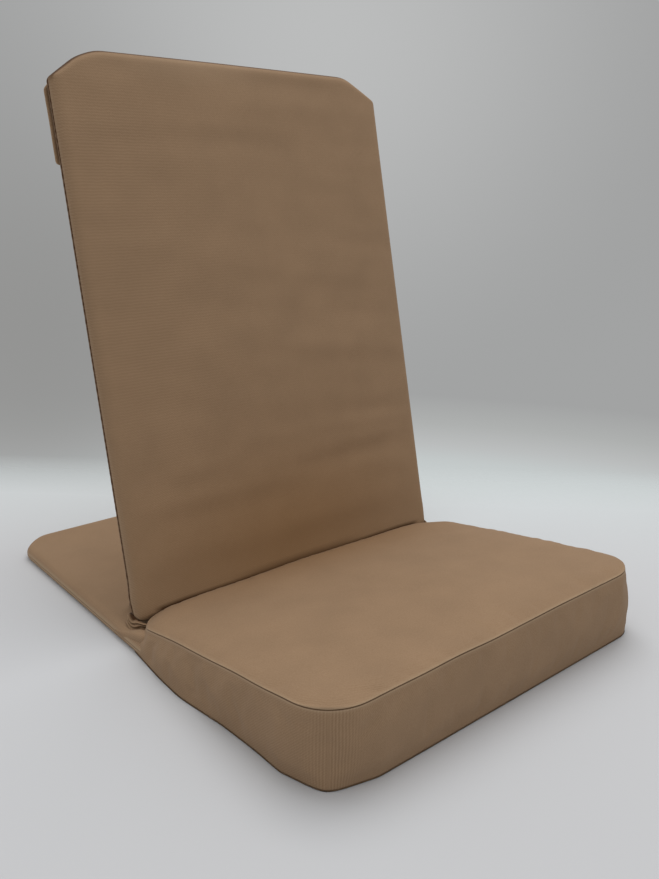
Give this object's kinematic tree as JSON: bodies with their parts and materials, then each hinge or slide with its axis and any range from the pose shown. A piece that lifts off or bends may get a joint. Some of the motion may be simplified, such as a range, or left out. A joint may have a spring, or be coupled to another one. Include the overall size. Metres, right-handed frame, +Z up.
{
  "type": "folding floor chair",
  "caption": "Legless folding floor chair with a padded back on a tube frame, a wedge box cushion and a flat rear panel, all in plain twill covers.",
  "frame": {"origin": "on the floor, at the middle of the chair, straight under the back's pivot axis", "axes": "+Z up, -Y from the pivot towards the cushion's front, +X along the pivot axis, to the right when looking along +Y"},
  "size_m": [0.546, 0.7065, 0.6813],
  "materials": {
    "cover_twill": "woven cotton twill",
    "foam": "open-cell foam",
    "frame_enamel": "black powder coat",
    "rivet_steel": "zinc plated",
    "bush_nylon": "moulded nylon",
    "strip_nylon": "hook and loop tape"
  },
  "bodies": {
    "base": {"base_frame": "frame_enamel", "hinge_cross_tube": "frame_enamel", "left_bracket": "frame_enamel", "right_bracket": "frame_enamel", "pivot_rivets": "rivet_steel", "base_top_cover": "cover_twill", "bottom_cover": "cover_twill", "seat_foam": "foam", "seat_boxing": "cover_twill", "seat_top_panel": "cover_twill"},
    "back": {"back_frame": "frame_enamel", "back_cross_tube": "frame_enamel", "pivot_bushes": "bush_nylon", "back_foam": "foam", "back_front_cover": "cover_twill", "back_rear_cover": "cover_twill", "flap_hem": "cover_twill", "loop_strip": "strip_nylon"},
    "flap": {"top_flap": "cover_twill", "hook_strip": "strip_nylon"}
  },
  "joints": [
    {"name": "back_fold", "type": "hinge", "parent": "base", "child": "back", "pos_m": [0, 0, 0.05281], "axis": [1, 0, 0], "range_deg": [0, 91.5]},
    {"name": "flap_open", "type": "hinge", "parent": "back", "child": "flap", "pos_m": [0, 0.16505, 0.66146], "axis": [1, 0, 0], "range_deg": [0, 165]}
  ]
}
